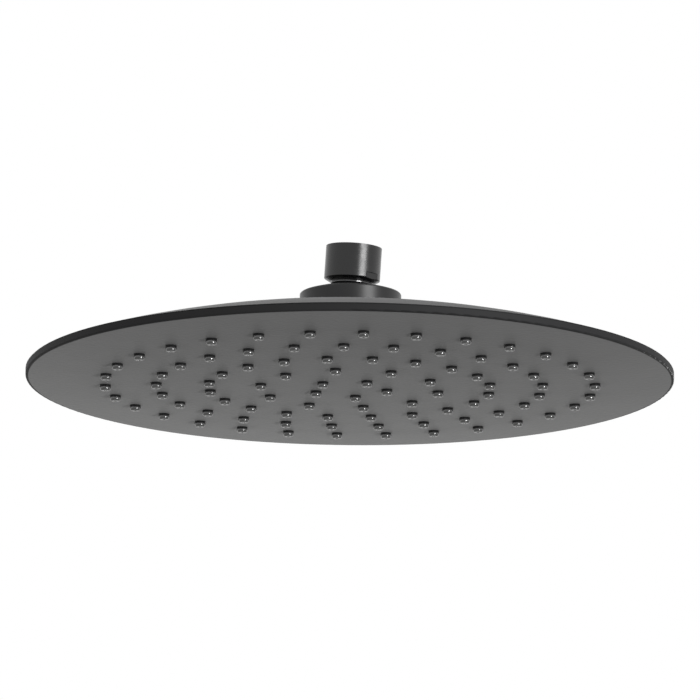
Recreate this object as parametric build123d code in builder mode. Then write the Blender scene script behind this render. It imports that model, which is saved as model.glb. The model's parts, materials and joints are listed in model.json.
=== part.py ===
from build123d import *
from math import acos, asin, degrees, sqrt
import os

# Round rain shower head: a crowned spray face under a domed back cover, hung on a ball joint
# with a half-inch inlet. The origin is the centre of the inlet's mouth, +Z is up.
# A level is a height above the lower edge of the face plate's band, a rise is one above the ball's centre.

# Face plate
head_diameter = 300.0
rim_height = 3.2
rim_width = 2.8
rim_foot_round = 0.8
rim_top_round = 0.5
face_crown = 3.0
face_thickness = 2.0

# Nozzles, in rings about the head's axis, counted from the outermost ring inwards
ring_counts = (30, 25, 20, 10, 5)
ring_margin = 36.5
ring_inner_radius = 17.5
ring_start_angle = 9.0
nozzle_root_diameter = 4.4
nozzle_tip_diameter = 4.1
nozzle_tip_round = 0.3
nozzle_reach = 2.7
nozzle_jet_diameter = 1.2
nozzle_clearance = 0.05
eyelet_diameter = 5.2
eyelet_height = 1.0
mat_thickness = 1.2
mat_gap = 0.05
mat_edge_clearance = 0.3

# Back cover
cover_apex_level = 28.1
cover_edge_inset = 0.6
cover_edge_height = 0.3
cover_wall = 2.4
cover_hole_clearance = 0.4
cover_skirt_width = 2.2
cover_skirt_clearance = 0.3
cover_seam = 0.3
cover_seat_gap = 0.05

# Water chamber between the nozzle mat and the chamber plate
chamber_margin = 1.6
chamber_wall = 2.2
chamber_wall_level = 3.8
chamber_seal_thickness = 0.8
chamber_plate_thickness = 2.2
rib_count = 8
rib_width = 2.0
rib_reach = 70.0
rib_height = 7.0
screw_count = 10
screw_diameter = 3.0
screw_head_diameter = 6.0
screw_head_height = 1.6
screw_shank_length = 4.4
screw_post_diameter = 7.0
screw_post_gap = 0.8
screw_clearance = 0.1

# Ball joint
ball_diameter = 26.0
ball_level = 37.3
ball_neck_diameter = 18.8
ball_neck_height = 0.55
ball_foot_diameter = 10.9
running_gap = 0.06
seal_thickness = 1.5
seal_low_angle = 40.0
seal_high_angle = 66.0
seat_wall = 1.4
seat_floor = 1.5
seat_top_rise = -4.3
friction_ring_low_rise = 0.9
friction_ring_high_rise = 4.7
socket_gap = 0.1

# Boss on the chamber plate, which the collar screws on
boss_wall = 3.4
boss_top_rise = 2.9
boss_floor = 2.4
boss_stem_diameter = 25.0
boss_shoulder_width = 5.0
boss_shoulder_thickness = 2.4
water_way_diameter = 13.0

# Collar
collar_diameter = 47.2
collar_edge_rise = 4.05
collar_edge_round = 0.7
collar_top_rise = 7.1
collar_lip_slope = 8.0
collar_lip_gap = 0.3
collar_thread_gap = 0.1
collar_step_gap = 0.4
collar_land_margin = 1.4

# Inlet connector, which leans on the ball; its depths run down its own axis from the mouth
lean_right = 3.2
lean_front = 3.0
nut_diameter = 26.0
nut_height = 16.85
nut_top_round = 1.3
nut_foot_width = 2.6
nut_foot_height = 1.5
nut_foot_round = 0.4
flat_depth = 0.6
flat_height = 4.0
flat_direction = -43.0
thread_diameter = 20.955
thread_depth = 10.0
relief_diameter = 21.8
inlet_depth = 13.4
spigot_diameter = 11.6
spigot_length = 10.5
spigot_bore_diameter = 9.0
spigot_gap = 0.05

# Inlet washer, screen and flow regulator
washer_diameter = 19.8
washer_bore_diameter = 13.6
washer_thickness = 2.3
screen_diameter = 16.2
screen_thickness = 0.4
screen_seat_depth = 0.8
screen_clearance = 0.1
screen_bowl_diameter = 10.0
screen_bowl_depth = 1.0
regulator_flange_diameter = 18.0
regulator_flange_thickness = 1.0
regulator_cup_depth = 6.0
regulator_wall = 0.9
regulator_clearance = 0.1
regulator_outlet_diameter = 3.0
regulator_ring_section = 1.4
regulator_ring_gap = 0.1

# Spheres and sockets of the ball joint, from the ball outwards
ball_radius = ball_diameter / 2
neck_radius = ball_neck_diameter / 2
neck_rise = sqrt(ball_radius**2 - neck_radius**2)
nut_rise = neck_rise + ball_neck_height
seal_inner = ball_radius + running_gap
seal_outer = seal_inner + seal_thickness
seat_inner = seal_outer + running_gap
seat_radius = seat_inner + seat_wall
socket_radius = seat_radius + socket_gap
boss_radius = socket_radius + boss_wall
water_way_radius = water_way_diameter / 2
seat_foot_rise = -sqrt(seat_inner**2 - water_way_radius**2) - seat_floor
socket_level = ball_level + seat_foot_rise - socket_gap
boss_top_level = ball_level + boss_top_rise
collar_radius = collar_diameter / 2
collar_bore = boss_radius + collar_thread_gap

# Planes and axes: the head hangs level, and the connector leans about the ball's centre
inlet = Plane.XY.rotated((lean_front, lean_right, 0))
inlet_section = Plane(inlet.origin, x_dir=inlet.x_dir, z_dir=-inlet.y_dir)
inlet_axis = Axis(inlet.origin, inlet.z_dir)
ball_depth = nut_height + nut_rise
ball_centre = inlet.from_local_coords(Vector(0, 0, -ball_depth))
head = Plane(ball_centre - Vector(0, 0, ball_level), x_dir=(1, 0, 0))
head_section = Plane(head.origin, x_dir=head.x_dir, z_dir=-head.y_dir)
head_axis = Axis(head.origin, head.z_dir)

# Face, dome and water chamber
head_radius = head_diameter / 2
crown_radius = (head_radius**2 + face_crown**2) / (2 * face_crown)
band_step = head_radius - rim_width
cover_radius = head_radius - cover_edge_inset
cover_foot_level = rim_height + cover_seam
cover_edge_level = cover_foot_level + cover_edge_height
cover_rise = cover_apex_level - cover_edge_level
dome_radius = (cover_radius**2 + cover_rise**2) / (2 * cover_rise)
dome_centre_level = cover_apex_level - dome_radius
cover_land_radius = collar_radius + collar_land_margin
cover_land_level = dome_centre_level + sqrt(dome_radius**2 - cover_land_radius**2)
cover_land_under = cover_land_level - cover_wall
ring_outer_radius = head_radius - ring_margin
ring_pitch = (ring_outer_radius - ring_inner_radius) / (len(ring_counts) - 1)
rings = [(ring_outer_radius - ring_pitch * index, count) for index, count in enumerate(ring_counts)]
chamber_inner = ring_outer_radius + nozzle_root_diameter / 2 + chamber_margin
chamber_outer = chamber_inner + chamber_wall
chamber_plate_level = chamber_wall_level + chamber_seal_thickness
chamber_plate_top = chamber_plate_level + chamber_plate_thickness
screw_circle = chamber_outer + screw_post_gap + screw_post_diameter / 2
chamber_plate_radius = screw_circle + screw_post_diameter / 2


def face_level(radius):
    """Level of the crowned lower face at a radius."""
    return crown_radius - face_crown - sqrt(crown_radius**2 - radius**2)


os.makedirs("parts", exist_ok=True)

# Face plate: crowned disc with an outer band and nozzle eyelets, and a chamber wall and screw posts inside
band_step_level = face_level(band_step) + face_thickness
wall_root_level = face_level(chamber_inner) + face_thickness / 2
post_root_level = face_level(screw_circle) + face_thickness / 2
with BuildPart() as face_plate:
    with BuildSketch(head.offset(-face_crown)):
        Circle(band_step)
    extrude(amount=face_crown + face_thickness)
    with Locations(head.offset(crown_radius - face_crown)):
        Sphere(crown_radius, rotation=(90, 0, 0), mode=Mode.INTERSECT)
    with Locations(head.offset(crown_radius - face_crown + face_thickness)):
        Sphere(crown_radius, rotation=(90, 0, 0), mode=Mode.SUBTRACT)
    with BuildSketch(head_section) as band_profile:
        with BuildLine():
            Polyline(
                (band_step, face_level(band_step)),
                (head_radius, 0),
                (head_radius, rim_height),
                (band_step, rim_height),
                close=True,
            )
        make_face()
        band_corners = band_profile.vertices().group_by(Axis.X)[-1].sort_by(Axis.Y)
        fillet(band_corners[0], rim_foot_round)
        fillet(band_corners[-1], rim_top_round)
    revolve(axis=head_axis)
    with BuildSketch(head.offset(wall_root_level)):
        Circle(chamber_outer)
        Circle(chamber_inner, mode=Mode.SUBTRACT)
    extrude(amount=chamber_wall_level - wall_root_level)
    with BuildSketch(head.offset(post_root_level)):
        with PolarLocations(screw_circle, screw_count):
            Circle(screw_post_diameter / 2)
    extrude(amount=chamber_plate_level - post_root_level)
    with Locations(head.offset(chamber_plate_level)):
        with PolarLocations(screw_circle, screw_count):
            Hole(screw_diameter / 2 + screw_clearance, depth=chamber_plate_level - post_root_level)
    for ring_radius, ring_count in rings:
        with BuildSketch(head.offset(face_level(ring_radius) - eyelet_height)):
            with PolarLocations(ring_radius, ring_count, start_angle=ring_start_angle):
                Circle(eyelet_diameter / 2)
        extrude(amount=eyelet_height + face_thickness / 2)
    with BuildSketch(head.offset(-face_crown - eyelet_height)):
        for ring_radius, ring_count in rings:
            with PolarLocations(ring_radius, ring_count, start_angle=ring_start_angle):
                Circle(nozzle_root_diameter / 2 + nozzle_clearance)
    extrude(amount=face_crown + eyelet_height + face_thickness, mode=Mode.SUBTRACT)
face_plate.part.label = "face_plate"
export_step(face_plate.part, "parts/face_plate.step")

# Nozzle mat: a thin crowned sheet with a tapered, bored nozzle for every hole of the face plate
mat_radius = chamber_inner - mat_edge_clearance
mat_under = face_thickness + mat_gap
mat_over = mat_under + mat_thickness
mat_edge_under = face_level(mat_radius) + mat_under
mat_edge_over = face_level(mat_radius) + mat_over
nozzle_root_radius = nozzle_root_diameter / 2
nozzle_tip_radius = nozzle_tip_diameter / 2
taper_height = nozzle_reach - eyelet_height - nozzle_tip_round
upwards = (Align.CENTER, Align.CENTER, Align.MIN)
with BuildPart() as nozzle_mat:
    with BuildSketch(head_section):
        with BuildLine():
            TangentArc((0, mat_under - face_crown), (mat_radius, mat_edge_under), tangent=(1, 0))
            Line((mat_radius, mat_edge_under), (mat_radius, mat_edge_over))
            TangentArc((0, mat_over - face_crown), (mat_radius, mat_edge_over), tangent=(1, 0))
            Line((0, mat_over - face_crown), (0, mat_under - face_crown))
        make_face()
    revolve(axis=head_axis)
    for ring_radius, ring_count in rings:
        ring_level = face_level(ring_radius)
        tip_level = ring_level - nozzle_reach
        with BuildSketch(head.offset(ring_level - eyelet_height)):
            with PolarLocations(ring_radius, ring_count, start_angle=ring_start_angle):
                Circle(nozzle_root_radius)
        extrude(amount=eyelet_height + mat_under + mat_thickness / 2)
        with Locations(head.offset(tip_level + nozzle_tip_round)):
            with PolarLocations(ring_radius, ring_count, start_angle=ring_start_angle):
                Cone(nozzle_tip_radius, nozzle_root_radius, taper_height, align=upwards)
        with Locations(head.offset(tip_level)):
            with PolarLocations(ring_radius, ring_count, start_angle=ring_start_angle):
                Cone(nozzle_tip_radius - nozzle_tip_round, nozzle_tip_radius, nozzle_tip_round, align=upwards)
        with BuildSketch(head.offset(tip_level)):
            with PolarLocations(ring_radius, ring_count, start_angle=ring_start_angle):
                Circle(nozzle_jet_diameter / 2)
        extrude(amount=nozzle_reach + mat_over + mat_thickness, mode=Mode.SUBTRACT)
nozzle_mat.part.label = "nozzle_mat"
export_step(nozzle_mat.part, "parts/nozzle_mat.step")

# Chamber seal: flat gasket on top of the chamber wall
with BuildPart() as chamber_seal:
    with BuildSketch(head.offset(chamber_wall_level)):
        Circle(chamber_outer)
        Circle(chamber_inner, mode=Mode.SUBTRACT)
    extrude(amount=chamber_seal_thickness)
chamber_seal.part.label = "chamber_seal"
export_step(chamber_seal.part, "parts/chamber_seal.step")

# Stiffening rib of the chamber plate, drawn in its place about a vertical axis
stem_radius = boss_stem_diameter / 2
with BuildPart() as rib:
    with BuildSketch(Plane.XZ):
        with BuildLine():
            Polyline(
                (stem_radius - rib_width, chamber_plate_level),
                (rib_reach, chamber_plate_level),
                (rib_reach, chamber_plate_top),
                (stem_radius - rib_width, chamber_plate_top + rib_height),
                close=True,
            )
        make_face()
    extrude(amount=rib_width / 2, both=True)

# Chamber plate: lid of the water chamber, with the boss that holds the ball's socket
boss_foot_level = socket_level - boss_floor
boss_shoulder_radius = boss_radius + boss_shoulder_width
with BuildPart() as chamber_plate:
    with BuildSketch(head_section):
        with BuildLine():
            Polyline(
                (water_way_radius, chamber_plate_level),
                (chamber_plate_radius, chamber_plate_level),
                (chamber_plate_radius, chamber_plate_top),
                (stem_radius, chamber_plate_top),
                (stem_radius, boss_foot_level - boss_radius + stem_radius),
                (boss_radius, boss_foot_level),
                (boss_radius, cover_land_under - boss_shoulder_thickness),
                (boss_shoulder_radius, cover_land_under - boss_shoulder_thickness),
                (boss_shoulder_radius, cover_land_under),
                (boss_radius, cover_land_under),
                (boss_radius, boss_top_level),
                (socket_radius, boss_top_level),
                (socket_radius, socket_level),
                (water_way_radius, socket_level),
                close=True,
            )
        make_face()
    revolve(axis=head_axis)
    with Locations(head):
        with PolarLocations(0, rib_count):
            add(rib.part)
    with Locations(head.offset(chamber_plate_top)):
        with PolarLocations(screw_circle, screw_count):
            CounterSinkHole(
                screw_diameter / 2 + screw_clearance,
                screw_head_diameter / 2 + screw_clearance,
                depth=chamber_plate_thickness,
                counter_sink_angle=90,
            )
chamber_plate.part.label = "chamber_plate"
export_step(chamber_plate.part, "parts/chamber_plate.step")

# Chamber screws: countersunk, flush with the chamber plate
with BuildPart() as chamber_screws:
    with Locations(head.offset(chamber_plate_top - screw_head_height)):
        with PolarLocations(screw_circle, screw_count):
            Cone(screw_diameter / 2, screw_head_diameter / 2, screw_head_height, align=upwards)
    with Locations(head.offset(chamber_plate_top - screw_head_height - screw_shank_length)):
        with PolarLocations(screw_circle, screw_count):
            Cylinder(screw_diameter / 2, screw_shank_length, align=upwards)
chamber_screws.part.label = "chamber_screws"
export_step(chamber_screws.part, "parts/chamber_screws.step")

# Back cover: domed shell with a flat land for the collar and a skirt inside the face plate's band
cover_hole = boss_radius + cover_hole_clearance
dome_inner = dome_radius - cover_wall
land_under_radius = sqrt(dome_inner**2 - (cover_land_under - dome_centre_level) ** 2)
dome_foot_radius = sqrt(dome_inner**2 - (cover_foot_level - dome_centre_level) ** 2)
skirt_radius = band_step - cover_skirt_clearance
skirt_level = band_step_level + cover_seat_gap
with BuildPart() as back_cover:
    with BuildSketch(head_section):
        with BuildLine():
            Line((cover_hole, cover_land_level), (cover_land_radius, cover_land_level))
            RadiusArc((cover_land_radius, cover_land_level), (cover_radius, cover_edge_level), dome_radius)
            Line((cover_radius, cover_edge_level), (cover_radius, cover_foot_level))
            Line((cover_radius, cover_foot_level), (dome_foot_radius, cover_foot_level))
            RadiusArc((land_under_radius, cover_land_under), (dome_foot_radius, cover_foot_level), dome_inner)
            Line((land_under_radius, cover_land_under), (cover_hole, cover_land_under))
            Line((cover_hole, cover_land_under), (cover_hole, cover_land_level))
        make_face()
        with Locations((skirt_radius, cover_edge_level)):
            Rectangle(cover_skirt_width, cover_edge_level - skirt_level, align=(Align.MAX, Align.MAX))
    revolve(axis=head_axis)
back_cover.part.label = "back_cover"
export_step(back_cover.part, "parts/back_cover.step")

# Retaining collar: smooth cap nut with a low domed top, bored to the ball at its lip
lip_sphere = ball_radius + collar_lip_gap
lip_top = (sqrt(lip_sphere**2 - collar_top_rise**2), ball_level + collar_top_rise)
recess_level = ball_level + friction_ring_high_rise
lip_foot = (sqrt(lip_sphere**2 - friction_ring_high_rise**2), recess_level)
collar_edge = (collar_radius, ball_level + collar_edge_rise)
step_level = boss_top_level + collar_step_gap
lip_tangent = Vector(1, 0).rotate(Axis.Z, -collar_lip_slope)
with BuildPart() as retaining_collar:
    with BuildSketch(head_section) as collar_profile:
        with BuildLine():
            TangentArc(lip_top, collar_edge, tangent=lip_tangent)
            Polyline(collar_edge, (collar_radius, cover_land_level), (collar_bore, cover_land_level))
            Polyline((collar_bore, cover_land_level), (collar_bore, step_level), (socket_radius, step_level))
            Polyline((socket_radius, step_level), (socket_radius, recess_level), lip_foot)
            RadiusArc(lip_top, lip_foot, lip_sphere)
        make_face()
        fillet(collar_profile.vertices().group_by(Axis.X)[-1].sort_by(Axis.Y)[-1], collar_edge_round)
    revolve(axis=head_axis)
retaining_collar.part.label = "retaining_collar"
export_step(retaining_collar.part, "parts/retaining_collar.step")

# Friction ring: sits under the collar's lip and bears on the ball's upper half
with BuildPart() as ball_ring:
    with BuildSketch(head_section):
        with BuildLine():
            low_angle = degrees(asin(friction_ring_low_rise / seal_inner))
            high_angle = degrees(asin(friction_ring_high_rise / seal_inner))
            bearing = CenterArc((0, ball_level), seal_inner, low_angle, high_angle - low_angle)
            Polyline(
                bearing @ 0,
                (seat_radius, ball_level + friction_ring_low_rise),
                (seat_radius, recess_level),
                bearing @ 1,
            )
        make_face()
    revolve(axis=head_axis)
ball_ring.part.label = "ball_ring"
export_step(ball_ring.part, "parts/ball_ring.step")

# Ball seal: a zone of rubber between two spheres, under the ball
with BuildPart() as ball_seal:
    with BuildSketch(head_section):
        with BuildLine():
            seal_sweep = seal_high_angle - seal_low_angle
            inner_face = CenterArc((0, ball_level), seal_inner, seal_low_angle - 90, seal_sweep)
            outer_face = CenterArc((0, ball_level), seal_outer, seal_low_angle - 90, seal_sweep)
            Line(inner_face @ 0, outer_face @ 0)
            Line(inner_face @ 1, outer_face @ 1)
        make_face()
    revolve(axis=head_axis)
ball_seal.part.label = "ball_seal"
export_step(ball_seal.part, "parts/ball_seal.step")

# Seat ring: cup under the seal, with the water way through its floor
with BuildPart() as seat_ring:
    with BuildSketch(head_section):
        with BuildLine():
            foot_angle = -degrees(acos(water_way_radius / seat_inner))
            rim_angle = degrees(asin(seat_top_rise / seat_inner))
            cup = CenterArc((0, ball_level), seat_inner, foot_angle, rim_angle - foot_angle)
            Polyline(
                cup @ 1,
                (seat_radius, ball_level + seat_top_rise),
                (seat_radius, ball_level + seat_foot_rise),
                (water_way_radius, ball_level + seat_foot_rise),
                cup @ 0,
            )
        make_face()
    revolve(axis=head_axis)
seat_ring.part.label = "seat_ring"
export_step(seat_ring.part, "parts/seat_ring.step")

# Swivel ball: bored sphere with a short neck, screwed on the connector's spigot
spigot_bore = spigot_bore_diameter / 2
spigot_pocket = spigot_diameter / 2 + spigot_gap
pocket_floor = -nut_height - spigot_length - spigot_gap
ball_foot_radius = ball_foot_diameter / 2
ball_foot = -ball_depth - sqrt(ball_radius**2 - ball_foot_radius**2)
with BuildPart() as swivel_ball:
    with BuildSketch(inlet_section):
        with BuildLine():
            ball_low_angle = -degrees(acos(ball_foot_radius / ball_radius))
            ball_high_angle = degrees(acos(neck_radius / ball_radius))
            sphere = CenterArc((0, -ball_depth), ball_radius, ball_low_angle, ball_high_angle - ball_low_angle)
            Polyline(
                sphere @ 1,
                (neck_radius, -nut_height),
                (spigot_pocket, -nut_height),
                (spigot_pocket, pocket_floor),
                (spigot_bore, pocket_floor),
                (spigot_bore, ball_foot),
                sphere @ 0,
            )
        make_face()
    revolve(axis=inlet_axis)
swivel_ball.part.label = "swivel_ball"
export_step(swivel_ball.part, "parts/swivel_ball.step")

# Inlet connector: turned nut with a bevelled foot, a threaded mouth, a washer relief and a hollow spigot
nut_radius = nut_diameter / 2
thread_radius = thread_diameter / 2
relief_radius = relief_diameter / 2
with BuildPart() as inlet_connector:
    with BuildSketch(inlet_section) as connector_profile:
        with BuildLine():
            Polyline(
                (thread_radius, 0),
                (nut_radius, 0),
                (nut_radius, nut_foot_height - nut_height),
                (nut_radius - nut_foot_width, -nut_height),
                (spigot_diameter / 2, -nut_height),
                (spigot_diameter / 2, -nut_height - spigot_length),
                (spigot_bore, -nut_height - spigot_length),
                (spigot_bore, -inlet_depth),
                (relief_radius, -inlet_depth),
                (relief_radius, -thread_depth),
                (thread_radius, -thread_depth),
                close=True,
            )
        make_face()
        nut_corners = connector_profile.vertices().group_by(Axis.X)[-1].sort_by(Axis.Y)
        fillet(nut_corners[0], nut_foot_round)
        fillet(nut_corners[-1], nut_top_round)
    revolve(axis=inlet_axis)
    with BuildSketch(inlet.offset(-nut_height)):
        Circle(nut_diameter)
        Rectangle(
            3 * nut_diameter,
            nut_diameter - 2 * flat_depth,
            rotation=flat_direction - 90,
            mode=Mode.SUBTRACT,
        )
    extrude(amount=flat_height, mode=Mode.SUBTRACT)
inlet_connector.part.label = "inlet_connector"
export_step(inlet_connector.part, "parts/inlet_connector.step")

# Flow regulator: flanged cup on the inlet's floor, reaching down into the spigot
cup_radius = spigot_bore - regulator_clearance
cup_inner = cup_radius - regulator_wall
cup_foot = -inlet_depth - regulator_cup_depth
flange_top = -inlet_depth + regulator_flange_thickness
with BuildPart() as flow_regulator:
    with BuildSketch(inlet_section):
        with BuildLine():
            Polyline(
                (regulator_outlet_diameter / 2, cup_foot),
                (cup_radius, cup_foot),
                (cup_radius, -inlet_depth),
                (regulator_flange_diameter / 2, -inlet_depth),
                (regulator_flange_diameter / 2, flange_top),
                (cup_inner, flange_top),
                (cup_inner, cup_foot + regulator_wall),
                (regulator_outlet_diameter / 2, cup_foot + regulator_wall),
                close=True,
            )
        make_face()
    revolve(axis=inlet_axis)
flow_regulator.part.label = "flow_regulator"
export_step(flow_regulator.part, "parts/flow_regulator.step")

# Regulator ring: rubber ring that lies on the cup's floor
ring_section_radius = regulator_ring_section / 2
with BuildPart() as regulator_ring:
    with Locations(inlet.offset(cup_foot + regulator_wall + ring_section_radius)):
        Torus(cup_inner - regulator_ring_gap - ring_section_radius, ring_section_radius)
regulator_ring.part.label = "regulator_ring"
export_step(regulator_ring.part, "parts/regulator_ring.step")

# Inlet washer: flat rubber washer on the regulator's flange, with a seat for the screen
washer_top = flange_top + washer_thickness
screen_seat = washer_top - screen_seat_depth
screen_seat_radius = screen_diameter / 2 + screen_clearance
with BuildPart() as inlet_washer:
    with BuildSketch(inlet_section):
        with BuildLine():
            Polyline(
                (washer_bore_diameter / 2, flange_top),
                (washer_diameter / 2, flange_top),
                (washer_diameter / 2, washer_top),
                (screen_seat_radius, washer_top),
                (screen_seat_radius, screen_seat),
                (washer_bore_diameter / 2, screen_seat),
                close=True,
            )
        make_face()
    revolve(axis=inlet_axis)
inlet_washer.part.label = "inlet_washer"
export_step(inlet_washer.part, "parts/inlet_washer.step")

# Inlet screen: wire strainer with a shallow bowl, set in the washer
screen_radius = screen_diameter / 2
bowl_radius = screen_bowl_diameter / 2
screen_top = screen_seat + screen_thickness
with BuildPart() as inlet_screen:
    with BuildSketch(inlet_section):
        with BuildLine():
            TangentArc((0, screen_seat - screen_bowl_depth), (bowl_radius, screen_seat), tangent=(1, 0))
            Polyline((bowl_radius, screen_seat), (screen_radius, screen_seat), (screen_radius, screen_top))
            Line((screen_radius, screen_top), (bowl_radius, screen_top))
            TangentArc((0, screen_top - screen_bowl_depth), (bowl_radius, screen_top), tangent=(1, 0))
            Line((0, screen_top - screen_bowl_depth), (0, screen_seat - screen_bowl_depth))
        make_face()
    revolve(axis=inlet_axis)
inlet_screen.part.label = "inlet_screen"
export_step(inlet_screen.part, "parts/inlet_screen.step")
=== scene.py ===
"""Looks of a round rain shower head: its finishes, pipe thread, strainer weave, nozzles and studio."""

import json
import logging
import math
from dataclasses import dataclass
from enum import Enum
from typing import Any

import bpy
import numpy as np
from mathutils import Matrix, Vector


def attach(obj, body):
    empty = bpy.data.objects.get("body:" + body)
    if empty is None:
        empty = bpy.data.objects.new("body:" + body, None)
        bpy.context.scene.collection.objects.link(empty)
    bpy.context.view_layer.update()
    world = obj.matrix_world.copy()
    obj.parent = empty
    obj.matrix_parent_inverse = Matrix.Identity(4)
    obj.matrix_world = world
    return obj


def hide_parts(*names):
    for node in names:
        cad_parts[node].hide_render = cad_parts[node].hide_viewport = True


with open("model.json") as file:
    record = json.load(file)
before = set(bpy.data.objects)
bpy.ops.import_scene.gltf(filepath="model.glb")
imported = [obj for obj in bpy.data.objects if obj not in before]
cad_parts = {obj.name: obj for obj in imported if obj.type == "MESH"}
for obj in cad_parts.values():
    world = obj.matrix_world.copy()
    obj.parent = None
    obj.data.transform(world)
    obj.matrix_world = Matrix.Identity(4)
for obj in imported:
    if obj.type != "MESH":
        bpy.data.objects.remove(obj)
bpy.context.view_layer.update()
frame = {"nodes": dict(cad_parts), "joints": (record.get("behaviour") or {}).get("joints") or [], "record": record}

MM = 0.001
FULL_TURN = 2.0 * math.pi
LOG = logging.getLogger("shower_head")

# Points of a mesh that lie closer than this, in metres, are one point.
MERGE_DISTANCE = 1e-7
# The ball's centre at rest, and its height above the lower edge of the face plate's band.
BALL_MM = np.array(frame["joints"][0]["pos_m"], float) / MM
BALL_LEVEL_MM = 37.3

# Blender's name for the shader of a new material, and the numbers of a Mix node's colour sockets, which share
# their names with its other sockets.
SHADER = "Principled BSDF"
COLOUR_A = 6
COLOUR_B = 7
COLOUR_OUT = 2
# Octaves of the noises that all finishes share, how fast those of the slow one fade, and a noise's low,
# middle and high levels: between the outer two the gloss runs from its least to its most.
DRIFT_OCTAVES = 4.0
DRIFT_FADE = 0.6
SKIN_OCTAVES = 2.0
NOISE_LOW = 0.25
NOISE_MIDDLE = 0.5
NOISE_HIGH = 0.75
# A wave texture turns once in 2 pi over this many times its scale.
WAVE_RATE = 20.0


class Body(Enum):
    """The bodies that the new pieces ride on."""

    CONNECTOR = "connector"
    HEAD = "head"


def srgb(hex_value: str) -> tuple[float, float, float, float]:
    """Turns an sRGB hex value into a linear colour.

    Args:
        hex_value: Six hex digits after a hash sign.

    Returns:
        Linear red, green and blue, and an alpha of one.
    """
    parts = np.array([int(hex_value[i:i + 2], 16) for i in (1, 3, 5)]) / 255.0
    linear = np.where(parts <= 0.04045, parts / 12.92, ((parts + 0.055) / 1.055) ** 2.4)
    return (float(linear[0]), float(linear[1]), float(linear[2]), 1.0)


def add_node(tree: bpy.types.NodeTree, kind: str, inputs: dict[str | int, Any],
             **settings: Any) -> bpy.types.Node:
    """Adds a node with its settings, and links or sets its inputs.

    Args:
        tree: Node tree that takes the node.
        kind: Blender's name for the node's type.
        inputs: Input name or number to a value, or to the output socket to link.
        **settings: Properties of the node itself.

    Returns:
        The new node.
    """
    node = tree.nodes.new(kind)
    for key, value in settings.items():
        setattr(node, key, value)
    for key, value in inputs.items():
        if isinstance(value, bpy.types.NodeSocket):
            tree.links.new(value, node.inputs[key])
        else:
            node.inputs[key].default_value = value
    return node


@dataclass(frozen=True)
class Axes:
    """A place and three directions in the row frame; lengths along them are in millimetres."""

    origin: np.ndarray
    x: np.ndarray
    y: np.ndarray
    z: np.ndarray

    def place(self, points: np.ndarray) -> np.ndarray:
        """Turns local millimetres into row-frame metres: origin plus each coordinate along its direction.

        Args:
            points: Array whose last axis holds local x, y and z.

        Returns:
            Array of the same shape in the row frame.
        """
        turned = points[..., :1] * self.x + points[..., 1:2] * self.y + points[..., 2:] * self.z
        return (self.origin + turned) * MM


def inlet_axes() -> Axes:
    """Reads the inlet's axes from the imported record's mount: the origin at its mouth and z out of it.

    Returns:
        The inlet's axes at rest.
    """
    mount = frame["record"]["mounts"][0]
    z = np.array(mount["axis"], float)
    z /= np.linalg.norm(z)
    x = np.cross((0.0, 1.0, 0.0), z)
    x /= np.linalg.norm(x)
    return Axes(np.array(mount["pos_m"], float) / MM, x, np.cross(z, x), z)


def head_axes() -> Axes:
    """The head's axes at rest: the origin below the ball, level with the lower edge of the band, z up."""
    return Axes(BALL_MM - (0.0, 0.0, BALL_LEVEL_MM), *np.eye(3))


@dataclass(frozen=True)
class Grid:
    """Equal grids of points, copies by rows by columns by three, whose columns close on themselves."""

    points: np.ndarray
    closed_rows: bool = False

    def quads(self) -> np.ndarray:
        """Numbers the corners of all quads: each spans two neighbouring columns of two neighbouring rows.

        Returns:
            Four corner numbers a line, for points numbered column by column, row by row, copy by copy.
        """
        copies, rows, columns = self.points.shape[:3]
        row = np.arange(rows if self.closed_rows else rows - 1)
        places = np.meshgrid(np.arange(copies), row, np.arange(columns), indexing="ij")
        copy, i, j = (place.ravel() for place in places)
        start = copy * rows * columns
        i_next = (i + 1) % rows
        j_next = (j + 1) % columns
        corners = ((i, j), (i_next, j), (i_next, j_next), (i, j_next))
        return np.stack([start + row_number * columns + column for row_number, column in corners], axis=1)


def make_piece(name: str, axes: Axes, grids: list[Grid], sharp_deg: float = 40.0) -> bpy.types.Object:
    """Makes one smooth-shaded mesh object of several grids, with its faces pointing outwards.

    Args:
        name: Name of the piece.
        axes: Axes that the grids' points are in.
        grids: The surfaces that it is made of.
        sharp_deg: Edges that turn by more than this stay sharp.

    Returns:
        The new object, linked to the scene.
    """
    starts = np.cumsum([0] + [grid.points.size // 3 for grid in grids[:-1]])
    quads = np.concatenate([grid.quads() + start for grid, start in zip(grids, starts)])
    points = np.concatenate([grid.points.reshape(-1, 3) for grid in grids])
    mesh = bpy.data.meshes.new(name)
    mesh.from_pydata(axes.place(points).tolist(), [], quads.tolist())
    mesh.validate()
    piece = bpy.data.objects.new(name, mesh)
    bpy.context.scene.collection.objects.link(piece)
    bpy.context.view_layer.objects.active = piece
    bpy.ops.object.select_all(action="DESELECT")
    piece.select_set(True)
    bpy.ops.object.mode_set(mode="EDIT")
    bpy.ops.mesh.select_all(action="SELECT")
    bpy.ops.mesh.remove_doubles(threshold=MERGE_DISTANCE)
    bpy.ops.mesh.normals_make_consistent(inside=False)
    bpy.ops.object.mode_set(mode="OBJECT")
    mesh.shade_smooth()
    mesh.set_sharp_from_angle(angle=math.radians(sharp_deg))
    return piece


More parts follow.
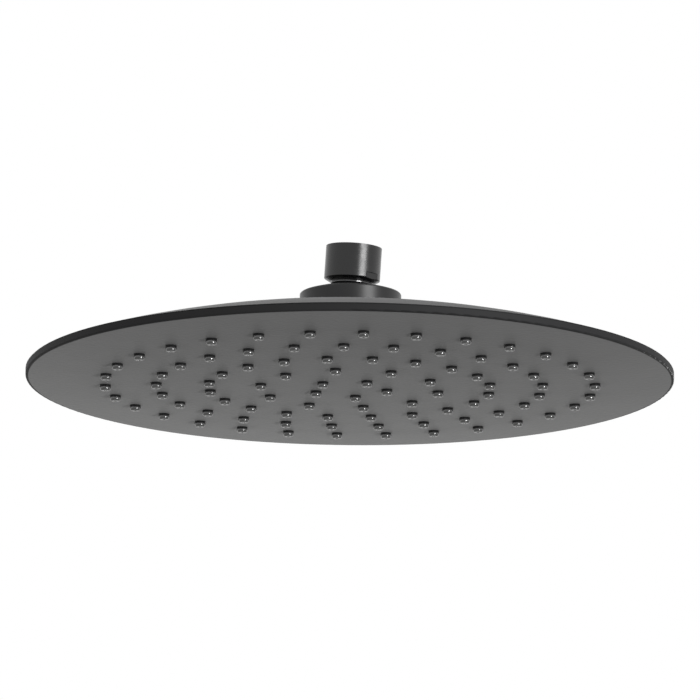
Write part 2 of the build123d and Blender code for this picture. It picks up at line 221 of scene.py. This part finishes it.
@dataclass(frozen=True)
class Finish:
    """A surface with a fine skin, a faintly mottled colour and a slow drift of its gloss, in real sizes."""

    name: str
    colour: str
    mottle: str
    roughness: float
    gloss_drift: float
    drift_mm: float
    skin_mm: float
    skin_height_mm: float
    metallic: float = 0.0
    ior: float = 1.5
    sheen: float = 0.0
    sheen_roughness: float = 0.5

    def material(self) -> bpy.types.Material:
        """Builds the material once: noise in object space moves the skin, the colour and the gloss.

        Returns:
            The finished material.
        """
        found = bpy.data.materials.get(self.name)
        if found:
            return found
        material = bpy.data.materials.new(self.name)
        material.use_nodes = True
        tree = material.node_tree
        shader = tree.nodes[SHADER]
        shader.inputs["Metallic"].default_value = self.metallic
        if not self.metallic:
            shader.inputs["IOR"].default_value = self.ior
            shader.inputs["Sheen Weight"].default_value = self.sheen
            shader.inputs["Sheen Roughness"].default_value = self.sheen_roughness
        place = add_node(tree, "ShaderNodeTexCoord", {}).outputs["Object"]
        drift = add_node(tree, "ShaderNodeTexNoise", {
            "Vector": place, "Scale": 1.0 / (self.drift_mm * MM), "Detail": DRIFT_OCTAVES,
            "Roughness": DRIFT_FADE}).outputs["Fac"]
        tint = add_node(tree, "ShaderNodeMix", {
            "Factor": drift, COLOUR_A: srgb(self.colour), COLOUR_B: srgb(self.mottle)}, data_type="RGBA")
        gloss = add_node(tree, "ShaderNodeMapRange", {
            "Value": drift, "From Min": NOISE_LOW, "From Max": NOISE_HIGH,
            "To Min": self.roughness - self.gloss_drift, "To Max": self.roughness + self.gloss_drift})
        bump = add_node(tree, "ShaderNodeBump", {
            "Height": self.relief(tree, place), "Strength": 1.0, "Distance": self.skin_height_mm * MM})
        tree.links.new(tint.outputs[COLOUR_OUT], shader.inputs["Base Color"])
        tree.links.new(bump.outputs["Normal"], shader.inputs["Normal"])
        self.polish(tree, place, gloss.outputs["Result"])
        return material

    def polish(self, tree: bpy.types.NodeTree, place: bpy.types.NodeSocket,
               gloss: bpy.types.NodeSocket) -> None:
        """Links the drifting gloss to the shader's roughness."""
        tree.links.new(gloss, tree.nodes[SHADER].inputs["Roughness"])

    def relief(self, tree: bpy.types.NodeTree, place: bpy.types.NodeSocket) -> bpy.types.NodeSocket:
        """The skin's height, from zero to one: even noise as wide as the skin's grain."""
        return add_node(tree, "ShaderNodeTexNoise", {
            "Vector": place, "Scale": 1.0 / (self.skin_mm * MM), "Detail": SKIN_OCTAVES}).outputs["Fac"]


@dataclass(frozen=True)
class BandedFinish(Finish):
    """A round moulding whose outer band is level, and has a gloss and a sheen of its own."""

    axis_mm: tuple[float, float] = (0.0, 0.0)
    band_radius_mm: float = 149.0
    band_fade_mm: float = 0.4
    band_roughness: float = 0.66
    band_sheen_roughness: float = 0.05

    def outside(self, tree: bpy.types.NodeTree, place: bpy.types.NodeSocket) -> bpy.types.NodeSocket:
        """The band's share: zero inside its radius, one outside, with a short fade between.

        Args:
            tree: The material's node tree.
            place: Object coordinates.

        Returns:
            The socket that carries the share.
        """
        centred = add_node(tree, "ShaderNodeMapping", {
            "Vector": place, "Location": (-self.axis_mm[0] * MM, -self.axis_mm[1] * MM, 0.0),
            "Scale": (1.0, 1.0, 0.0)}, vector_type="POINT")
        radius = add_node(tree, "ShaderNodeVectorMath", {0: centred.outputs[0]}, operation="LENGTH")
        return add_node(tree, "ShaderNodeMapRange", {
            "Value": radius.outputs["Value"], "From Min": (self.band_radius_mm - self.band_fade_mm) * MM,
            "From Max": self.band_radius_mm * MM}).outputs["Result"]

    def polish(self, tree: bpy.types.NodeTree, place: bpy.types.NodeSocket,
               gloss: bpy.types.NodeSocket) -> None:
        """Links the face's drifting gloss and the spread of its sheen, and the band's own values outside it.

        Args:
            tree: The material's node tree.
            place: Object coordinates.
            gloss: The drifting gloss.
        """
        share = self.outside(tree, place)
        roughness = add_node(tree, "ShaderNodeMix", {
            "Factor": share, "A": gloss, "B": self.band_roughness})
        spread = add_node(tree, "ShaderNodeMix", {
            "Factor": share, "A": self.sheen_roughness, "B": self.band_sheen_roughness})
        tree.links.new(roughness.outputs[0], tree.nodes[SHADER].inputs["Roughness"])
        tree.links.new(spread.outputs[0], tree.nodes[SHADER].inputs["Sheen Roughness"])

    def relief(self, tree: bpy.types.NodeTree, place: bpy.types.NodeSocket) -> bpy.types.NodeSocket:
        """The skin's height: the face's grain, which levels out at its middle height on the band.

        Args:
            tree: The material's node tree.
            place: Object coordinates.

        Returns:
            The socket that carries the height, from zero to one.
        """
        grain = super().relief(tree, place)
        share = self.outside(tree, place)
        return add_node(tree, "ShaderNodeMix", {"Factor": share, "A": grain, "B": NOISE_MIDDLE}).outputs[0]


@dataclass(frozen=True)
class TurnedFinish(Finish):
    """A coated metal turned on a lathe: the tool's rings run round the piece's axis under the coat."""

    lean_deg: tuple[float, float] = (0.0, 0.0)
    feed_mm: float = 0.5
    wander: float = 1.2
    wander_octaves: float = 2.0
    wander_scale: float = 0.2

    def relief(self, tree: bpy.types.NodeTree, place: bpy.types.NodeSocket) -> bpy.types.NodeSocket:
        """The skin's height: one wave a feed along the piece's own axis, broken by the coat's grain.

        Args:
            tree: The material's node tree.
            place: Object coordinates.

        Returns:
            The socket that carries the height of wave and grain together.
        """
        about_x = Matrix.Rotation(math.radians(self.lean_deg[0]), 3, "X")
        about_y = Matrix.Rotation(math.radians(self.lean_deg[1]), 3, "Y")
        upright = (about_x @ about_y).transposed().to_euler("XYZ")
        along = add_node(tree, "ShaderNodeMapping", {
            "Vector": place, "Rotation": tuple(upright)}, vector_type="POINT")
        scale = FULL_TURN / (WAVE_RATE * self.feed_mm * MM)
        rings = add_node(tree, "ShaderNodeTexWave", {
            "Vector": along.outputs[0], "Scale": scale, "Distortion": self.wander,
            "Detail": self.wander_octaves, "Detail Scale": self.wander_scale},
            wave_type="BANDS", bands_direction="Z").outputs["Fac"]
        grain = super().relief(tree, place)
        return add_node(tree, "ShaderNodeMath", {0: rings, 1: grain}, operation="ADD").outputs[0]


# Injection-moulded ABS under a sprayed matt black lacquer: the matting powder gives an even sheen that grows
# as the angle flattens. The lacquer's orange peel is some thousandths of a millimetre deep, too little to
# show, so it is drawn deeper. The band takes a drier coat: level and dull, with hardly any sheen.
LACQUERED_FACE = BandedFinish(
    "lacquered_abs_face", colour="#161617", mottle="#1A1A1B", roughness=0.52, gloss_drift=0.02,
    drift_mm=40.0, skin_mm=1.8, skin_height_mm=0.05, ior=1.30, sheen=0.60, sheen_roughness=0.30,
    axis_mm=(float(BALL_MM[0]), float(BALL_MM[1])))
# The cover takes the same lacquer in a drier coat too: duller than the face, with less sheen.
LACQUERED_COVER = Finish(
    "lacquered_abs_cover", colour="#161617", mottle="#1A1A1B", roughness=0.62, gloss_drift=0.02,
    drift_mm=40.0, skin_mm=1.2, skin_height_mm=0.002, ior=1.32, sheen=0.16, sheen_roughness=0.30)
# Turned brass under a thin baked black lacquer: tight highlights, with faint rings from the lathe. The rings'
# feed is about 0.15 mm on such a nut, too fine to show, so it is drawn at 0.5 mm. They follow the nut's lean.
LACQUERED_NUT = TurnedFinish(
    "lacquered_brass_nut", colour="#101011", mottle="#141415", roughness=0.27, gloss_drift=0.07,
    drift_mm=4.0, skin_mm=0.8, skin_height_mm=0.0014, ior=1.49, lean_deg=(3.0, 3.2))
# The collar is the same turned brass with a softer highlight, and its rings are drawn as coarse.
LACQUERED_COLLAR = TurnedFinish(
    "lacquered_brass_collar", colour="#141415", mottle="#181819", roughness=0.36, gloss_drift=0.02,
    drift_mm=18.0, skin_mm=0.9, skin_height_mm=0.0006, ior=1.42)
# Ball ground and polished before it is blackened: a bright glint with a breath of haze.
POLISHED_BALL = Finish(
    "polished_blackened_brass", colour="#121213", mottle="#161617", roughness=0.18, gloss_drift=0.02,
    drift_mm=9.0, skin_mm=0.8, skin_height_mm=0.0003, ior=1.9)
# Liquid silicone moulded in a polished tool: dark and glossy. Its index is set above silicone's own, so that
# the small highlights on the nozzles hold.
MOULDED_SILICONE = Finish(
    "moulded_silicone", colour="#1C1C1D", mottle="#262627", roughness=0.17, gloss_drift=0.03,
    drift_mm=2.4, skin_mm=0.5, skin_height_mm=0.0008, ior=2.1)
# Glass-filled ABS from the tool, not painted: dull, with a fine spark-eroded grain.
MOULDED_ABS = Finish(
    "moulded_abs", colour="#222223", mottle="#2A2A2B", roughness=0.55, gloss_drift=0.05,
    drift_mm=12.0, skin_mm=0.35, skin_height_mm=0.004)
# Acetal turned or moulded in its natural white: waxy and slightly uneven.
NATURAL_ACETAL = Finish(
    "natural_acetal", colour="#D6D4CB", mottle="#E0DED7", roughness=0.42, gloss_drift=0.05,
    drift_mm=6.0, skin_mm=0.6, skin_height_mm=0.0012, ior=1.48)
# Nitrile rubber from a ground mould: nearly flat black with a grey cast.
SEAL_RUBBER = Finish(
    "nitrile_rubber", colour="#161616", mottle="#1E1E1E", roughness=0.62, gloss_drift=0.06,
    drift_mm=3.0, skin_mm=0.25, skin_height_mm=0.004, ior=1.52)
# Drawn stainless wire and rolled heads: bright, a little uneven.
STAINLESS_STEEL = Finish(
    "drawn_stainless_steel", colour="#A9A9A6", mottle="#C4C4C0", roughness=0.28, gloss_drift=0.08,
    drift_mm=1.5, skin_mm=0.15, skin_height_mm=0.001, metallic=1.0)


def dress(piece: bpy.types.Object, finish: Finish) -> None:
    """Puts one finish on every slot of a piece.

    Args:
        piece: New piece or CAD node.
        finish: What its surface is.
    """
    material = finish.material()
    if not piece.data.materials:
        piece.data.materials.append(material)
    for slot in piece.material_slots:
        slot.material = material


def dress_nodes(finishes: dict[str, Finish]) -> list[str]:
    """Dresses CAD nodes whose shapes stay as they are.

    Args:
        finishes: Node name to its finish.

    Returns:
        The names of the nodes.
    """
    for name, finish in finishes.items():
        dress(frame["nodes"][name], finish)
    return list(finishes)


def tubes(path: np.ndarray, side: np.ndarray, up: np.ndarray, radius: float, around: int) -> np.ndarray:
    """Points of round tubes: each path point plus radius times (cos a side + sin a up), with the end rings
    drawn together to a point so that the tubes are closed.

    Args:
        path: Centre lines, copies by steps by three.
        side: Direction across the tubes.
        up: Direction square to it.
        radius: Tube radius in the path's unit.
        around: Points round the tube.

    Returns:
        Points as copies by steps by around by three.
    """
    angle = np.linspace(0.0, FULL_TURN, around, endpoint=False)[:, None]
    ring = np.cos(angle) * side + np.sin(angle) * up
    thick = np.full(path.shape[1], radius)
    thick[[0, -1]] = 0.0
    return path[:, :, None, :] + thick[None, :, None, None] * ring


def revolve(profile: np.ndarray, around: int) -> np.ndarray:
    """Points of a turned surface: a profile's radius carried round z as (r cos a, r sin a), its height kept.

    Args:
        profile: Radius and height a line.
        around: Points round the axis.

    Returns:
        Points as one copy by profile by around by three.
    """
    angle = np.linspace(0.0, FULL_TURN, around, endpoint=False)
    radius, height = profile[:, :1], profile[:, 1:]
    return np.stack([radius * np.cos(angle), radius * np.sin(angle), height + 0.0 * angle], axis=-1)[None]


def arc(centre: tuple[float, float], size: tuple[float, float], start_deg: float, end_deg: float,
        points: int) -> np.ndarray:
    """A round stretch of a profile: centre plus (width cos a, height sin a) between two angles.

    Args:
        centre: Centre of the round.
        size: Its half width and half height.
        start_deg: First angle.
        end_deg: Last angle.
        points: How many points it gets.

    Returns:
        Radius and height a line.
    """
    angle = np.radians(np.linspace(start_deg, end_deg, points))
    return np.stack([centre[0] + size[0] * np.cos(angle), centre[1] + size[1] * np.sin(angle)], axis=1)


@dataclass
class SprayHead:
    """Face plate with its silicone nozzles, the water chamber behind it and the domed cover."""

    head: Axes
    head_radius: float = 150.0
    crown: float = 3.0
    ring_counts: tuple[int, ...] = (30, 25, 20, 10, 5)
    ring_outer: float = 113.5
    ring_inner: float = 17.5
    ring_start_deg: float = 9.0
    mat_radius: float = 117.0
    mat_under: float = 2.05
    mat_over: float = 3.25
    mat_rings: int = 25
    mat_around: int = 96
    root_radius: float = 2.2
    eyelet_height: float = 1.0
    bowl_gap: float = 0.03
    bowl_radius: float = 2.6
    bowl_swell: float = 1.0
    bowl_points: int = 11
    reach: float = 2.7
    jet_radius: float = 0.6
    jet_end: float = 1.85
    jet_lip: float = 0.2
    lip_points: int = 4
    nozzle_around: int = 20

    def build(self) -> list[str]:
        """Dresses the mouldings and puts the mat with round nozzles in the plain one's place.

        Returns:
            The names of the pieces.
        """
        dressed = dress_nodes({
            "face_plate": LACQUERED_FACE, "back_cover": LACQUERED_COVER, "chamber_plate": MOULDED_ABS,
            "chamber_seal": SEAL_RUBBER, "chamber_screws": STAINLESS_STEEL})
        mat = self.nozzle_mat()
        dress(mat, MOULDED_SILICONE)
        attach(mat, Body.HEAD.value)
        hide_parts("nozzle_mat")
        return dressed + [mat.name]

    def face_level(self, radius: np.ndarray) -> np.ndarray:
        """Level of the crowned face: a sphere's cap, crown deep at the axis and level zero at the edge."""
        sphere = (self.head_radius ** 2 + self.crown ** 2) / (2.0 * self.crown)
        return sphere - self.crown - np.sqrt(sphere ** 2 - radius ** 2)

    def nozzle_feet(self) -> np.ndarray:
        """Where the nozzles meet the face: (r cos a, r sin a, face level) at each ring's even angles.

        Returns:
            One point a nozzle in the head's axes.
        """
        counts = np.array(self.ring_counts)
        radius = np.repeat(np.linspace(self.ring_outer, self.ring_inner, len(counts)), counts)
        number = np.arange(counts.sum()) - np.repeat(np.cumsum(counts) - counts, counts)
        angle = np.radians(self.ring_start_deg) + FULL_TURN * number / np.repeat(counts, counts)
        return np.stack([radius * np.cos(angle), radius * np.sin(angle), self.face_level(radius)], axis=1)

    def nozzle_profile(self) -> np.ndarray:
        """A nozzle from its root in the sheet, through the eyelet, down a bowl whose side is a quarter of an
        ellipse to the flat tip, over a round lip and up the blind jet.

        Returns:
            Radius and height a line.
        """
        root_top = (self.mat_under + self.mat_over) / 2.0
        bowl_top = -self.eyelet_height - self.bowl_gap
        tip = -self.reach
        root = [(0.0, root_top), (self.root_radius, root_top), (self.root_radius, bowl_top)]
        bowl = arc((self.bowl_radius - self.bowl_swell, bowl_top), (self.bowl_swell, bowl_top - tip),
                   0.0, -90.0, self.bowl_points)
        lip = arc((self.jet_radius + self.jet_lip, tip + self.jet_lip), (self.jet_lip, self.jet_lip),
                  270.0, 180.0, self.lip_points)
        jet = [(self.jet_radius, self.jet_end), (0.0, self.jet_end)]
        return np.concatenate([root, bowl, lip, jet])

    def nozzle_mat(self) -> bpy.types.Object:
        """The moulding: a thin crowned sheet, and on it a turned nozzle at every foot.

        Returns:
            The new piece.
        """
        radius = np.linspace(0.0, self.mat_radius, self.mat_rings)
        under = np.stack([radius, self.face_level(radius) + self.mat_under], axis=1)
        over = np.stack([radius, self.face_level(radius) + self.mat_over], axis=1)[::-1]
        sheet = revolve(np.concatenate([under, over]), self.mat_around)
        nozzles = self.nozzle_feet()[:, None, None, :] + revolve(self.nozzle_profile(), self.nozzle_around)
        return make_piece("silicone_nozzle_mat", self.head, [Grid(sheet), Grid(nozzles)])


@dataclass
class BallJoint:
    """Polished ball in its white bearing rings, over a rubber seal, under the turned collar."""

    def build(self) -> list[str]:
        """Dresses the joint's pieces, whose turned shapes come from the solids."""
        return dress_nodes({
            "swivel_ball": POLISHED_BALL, "retaining_collar": LACQUERED_COLLAR, "ball_seal": SEAL_RUBBER,
            "ball_ring": NATURAL_ACETAL, "seat_ring": NATURAL_ACETAL})


@dataclass
class Inlet:
    """Turned nut with its pipe thread, and the washer, strainer and flow regulator inside it."""

    mouth: Axes
    thread_root: float = 10.4775
    thread_crest: float = 9.3155
    thread_pitch: float = 1.814
    thread_start: float = -1.0
    thread_end: float = -9.0
    thread_fade_turns: float = 0.35
    thread_sink: float = 0.06
    thread_back: float = 0.1
    thread_steps: int = 64
    thread_points: int = 13
    thread_sharp_deg: float = 50.0
    screen_seat: float = -10.9
    screen_thickness: float = 0.4
    screen_radius: float = 8.1
    screen_sharp_deg: float = 60.0
    rim_inner: float = 6.3
    rim_squareness: float = 0.5
    rim_points: int = 16
    rim_around: int = 64
    bowl_radius: float = 5.0
    bowl_depth: float = 1.0
    wire_radius: float = 0.1
    wire_pitch: float = 0.6
    wire_hold: float = 0.4
    wires: int = 21
    wire_steps: int = 72
    wire_around: int = 6

    def build(self) -> list[str]:
        """Dresses the solids, cuts the thread and puts a woven strainer in the plain one's place.

        Returns:
            The names of the pieces.
        """
        dressed = dress_nodes({
            "inlet_connector": LACQUERED_NUT, "flow_regulator": NATURAL_ACETAL, "inlet_washer": SEAL_RUBBER,
            "regulator_ring": SEAL_RUBBER})
        thread = self.pipe_thread()
        dress(thread, LACQUERED_NUT)
        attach(thread, Body.CONNECTOR.value)
        strainer = self.strainer()
        dress(strainer, STAINLESS_STEEL)
        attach(strainer, Body.CONNECTOR.value)
        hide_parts("inlet_screen")
        return dressed + [thread.name, strainer.name]

    def pipe_thread(self) -> bpy.types.Object:
        """The thread: a rounded ridge, 0.5 + 0.5 cos of its place across the pitch, carried along a helix
        whose depth falls one pitch a turn. Its height fades to nothing over a part of a turn at both ends.

        Returns:
            The new piece.
        """
        turns = (self.thread_start - self.thread_end) / self.thread_pitch
        turn = np.linspace(0.0, turns, int(turns * self.thread_steps))[:, None]
        across = np.linspace(-0.5, 0.5, self.thread_points)[None, :]
        fade = np.clip(np.minimum(turn, turns - turn) / self.thread_fade_turns, 0.0, 1.0)
        fade = fade * fade * (3.0 - 2.0 * fade)
        wall = self.thread_root + self.thread_sink
        height = (wall - self.thread_crest) * fade * (0.5 + 0.5 * np.cos(FULL_TURN * across))
        depth = self.thread_start - self.thread_pitch * turn + self.thread_pitch * across
        back = np.full_like(turn, wall + self.thread_back)
        radius = np.concatenate([wall - height, back, back], axis=1)
        depth = np.concatenate([depth, depth[:, -1:], depth[:, :1]], axis=1)
        angle = FULL_TURN * turn
        points = np.stack([radius * np.cos(angle), radius * np.sin(angle), depth], axis=-1)
        points[[0, -1]] = points[[0, -1]].mean(axis=1, keepdims=True)
        return make_piece("pipe_thread", self.mouth, [Grid(points[None])], self.thread_sharp_deg)

    def strainer(self) -> bpy.types.Object:
        """The strainer: a pressed rim that holds a woven bowl of wire.

        Returns:
            The new piece.
        """
        middle = self.screen_seat + self.screen_thickness / 2.0
        grids = [Grid(self.rim(middle), closed_rows=True), Grid(self.weave(middle))]
        return make_piece("woven_strainer", self.mouth, grids, self.screen_sharp_deg)

    def rim(self, middle: float) -> np.ndarray:
        """The rim: a rounded oblong, the signed roots of cos a and sin a, turned round the axis.

        Args:
            middle: Level of the rim's middle.

        Returns:
            Points as one copy by section by around by three.
        """
        angle = np.linspace(0.0, FULL_TURN, self.rim_points, endpoint=False)
        circle = np.stack([np.cos(angle), np.sin(angle)], axis=1)
        oblong = np.sign(circle) * np.abs(circle) ** self.rim_squareness
        centre = np.array([(self.screen_radius + self.rim_inner) / 2.0, middle])
        half = np.array([(self.screen_radius - self.rim_inner) / 2.0, self.screen_thickness / 2.0])
        return revolve(centre + half * oblong, self.rim_around)

    def weave(self, middle: float) -> np.ndarray:
        """The weave: two sets of round wires that pass over and under each other, as a cosine that turns once
        in two spacings. They follow a parabolic bowl and end inside the rim.

        Args:
            middle: Level of the rim's middle.

        Returns:
            Points as wires by steps by around by three.
        """
        reach = self.rim_inner + self.wire_hold
        number = (np.arange(self.wires) - (self.wires - 1) / 2.0)[:, None]
        across = number * self.wire_pitch
        along = np.linspace(-1.0, 1.0, self.wire_steps) * np.sqrt(reach ** 2 - across ** 2)
        beside = across + 0.0 * along
        bowl = self.bowl_depth * np.clip(1.0 - (across ** 2 + along ** 2) / self.bowl_radius ** 2, 0.0, 1.0)
        lift = self.wire_radius * np.cos(math.pi * (along / self.wire_pitch + number))
        one = np.stack([beside, along, middle - bowl + lift], axis=-1)
        other = np.stack([along, beside, middle - bowl - lift], axis=-1)
        x, y, z = np.eye(3)
        return np.concatenate([tubes(one, x, z, self.wire_radius, self.wire_around),
                               tubes(other, y, z, self.wire_radius, self.wire_around)])


@dataclass(frozen=True)
class Softbox:
    """A soft area lamp that faces the head and that the camera doesn't see. Its lengths are in metres."""

    name: str
    right_deg: float
    up_deg: float
    distance: float
    width: float
    height: float
    watts: float

    def build(self, head: Axes) -> None:
        """Places the lamp by its angles to the right of the camera's side and above the level.

        Args:
            head: The head's axes, whose origin it faces.
        """
        data = bpy.data.lights.new(self.name, "AREA")
        data.shape = "RECTANGLE"
        data.size = self.width
        data.size_y = self.height
        data.energy = self.watts
        lamp = bpy.data.objects.new(self.name, data)
        lamp.visible_camera = False
        bpy.context.scene.collection.objects.link(lamp)
        side, rise = math.radians(self.right_deg), math.radians(self.up_deg)
        away = Vector((math.sin(side) * math.cos(rise), -math.cos(side) * math.cos(rise), math.sin(rise)))
        turn = away.to_track_quat("Z", "Y").to_matrix().to_4x4()
        lamp.matrix_world = Matrix.Translation(Vector(head.origin * MM) + away * self.distance) @ turn


# The key lamp draws the bright stripes on nut and collar, and the low one the glints on the nozzles.
KEY_SOFTBOX = Softbox(
    "key_softbox", right_deg=41.5, up_deg=10.5, distance=1.6, width=0.66, height=0.42, watts=15.0)
LOW_SOFTBOX = Softbox(
    "low_softbox", right_deg=40.0, up_deg=-27.0, distance=1.0, width=0.16, height=0.2, watts=4.4)


@dataclass
class Studio:
    """Pale floor well below the hanging head, white surround, soft lamps and the photograph's camera."""

    camera_mm: tuple[float, float, float] = (0.0, -2469.68, -524.73)
    camera_pitch_deg: float = 12.3294
    camera_roll_deg: float = 0.5242
    focal_px: float = 5451.3
    picture_px: float = 700.0
    sensor_mm: float = 36.0
    view_end: float = 100.0
    surround: str = "#FFFFFF"
    seen_strength: float = 1.0
    light_strength: float = 0.6
    floor_colour: str = "#E4E4E2"
    floor_roughness: float = 0.8
    floor_drop_mm: float = 2000.0
    floor_radius_mm: float = 8600.0
    floor_corners: int = 128

    def build(self, head: Axes) -> None:
        """Makes the camera, world, floor and lamps.

        Args:
            head: The head's axes, which all but the world are placed from.
        """
        self.make_camera(head)
        self.make_world()
        self.make_floor(head)
        KEY_SOFTBOX.build(head)
        LOW_SOFTBOX.build(head)
        bpy.context.scene.view_settings.view_transform = "Standard"

    def make_camera(self, head: Axes) -> None:
        """Places the camera: it looks along +Y, pitched up, with a slight roll.

        Args:
            head: The head's axes.
        """
        pitch, roll = math.radians(self.camera_pitch_deg), math.radians(self.camera_roll_deg)
        forward = Vector((0.0, math.cos(pitch), math.sin(pitch)))
        right = Vector((1.0, 0.0, 0.0))
        up = right.cross(forward)
        right_rolled = math.cos(roll) * right + math.sin(roll) * up
        up_rolled = -math.sin(roll) * right + math.cos(roll) * up
        turn = Matrix((right_rolled, up_rolled, -forward)).transposed()
        place = Vector((head.origin + np.array(self.camera_mm)) * MM)
        data = bpy.data.cameras.new("camera")
        data.sensor_width = self.sensor_mm
        data.lens = self.focal_px / self.picture_px * self.sensor_mm
        data.clip_end = self.view_end
        camera = bpy.data.objects.new("camera", data)
        bpy.context.scene.collection.objects.link(camera)
        camera.matrix_world = Matrix.Translation(place) @ turn.to_4x4()
        bpy.context.scene.camera = camera

    def make_world(self) -> None:
        """White where the camera and reflections see it, a softer level where it lights surfaces."""
        world = bpy.data.worlds.new("surround")
        bpy.context.scene.world = world
        world.use_nodes = True
        tree = world.node_tree
        tree.nodes.clear()
        path = add_node(tree, "ShaderNodeLightPath", {}).outputs
        mirrored = add_node(tree, "ShaderNodeMath", {
            0: path["Is Glossy Ray"], 1: path["Is Transmission Ray"]}, operation="MAXIMUM").outputs[0]
        seen = add_node(tree, "ShaderNodeMath", {
            0: path["Is Camera Ray"], 1: mirrored}, operation="MAXIMUM").outputs[0]
        colour = srgb(self.surround)
        soft = add_node(tree, "ShaderNodeBackground", {"Color": colour, "Strength": self.light_strength})
        white = add_node(tree, "ShaderNodeBackground", {"Color": colour, "Strength": self.seen_strength})
        mixed = add_node(tree, "ShaderNodeMixShader", {0: seen, 1: soft.outputs[0], 2: white.outputs[0]})
        add_node(tree, "ShaderNodeOutputWorld", {"Surface": mixed.outputs[0]})

    def make_floor(self, head: Axes) -> None:
        """Makes a round pale floor.

        Args:
            head: The head's axes, which the floor lies below.
        """
        place = (head.origin - (0.0, 0.0, self.floor_drop_mm)) * MM
        bpy.ops.mesh.primitive_circle_add(
            vertices=self.floor_corners, radius=self.floor_radius_mm * MM, fill_type="NGON",
            location=tuple(place))
        floor = bpy.context.object
        floor.name = "floor"
        material = bpy.data.materials.new("pale_floor")
        material.use_nodes = True
        shader = material.node_tree.nodes[SHADER]
        shader.inputs["Base Color"].default_value = srgb(self.floor_colour)
        shader.inputs["Roughness"].default_value = self.floor_roughness
        floor.data.materials.append(material)


def main() -> None:
    """Builds the looks sub-assembly by sub-assembly and reports each piece."""
    logging.basicConfig(level=logging.INFO, format="%(name)s: %(message)s")
    head = head_axes()
    for assembly in (SprayHead(head), BallJoint(), Inlet(inlet_axes())):
        for name in assembly.build():
            LOG.info("%s in %s", name, type(assembly).__name__)
    Studio().build(head)


if __name__ == "__main__":
    main()
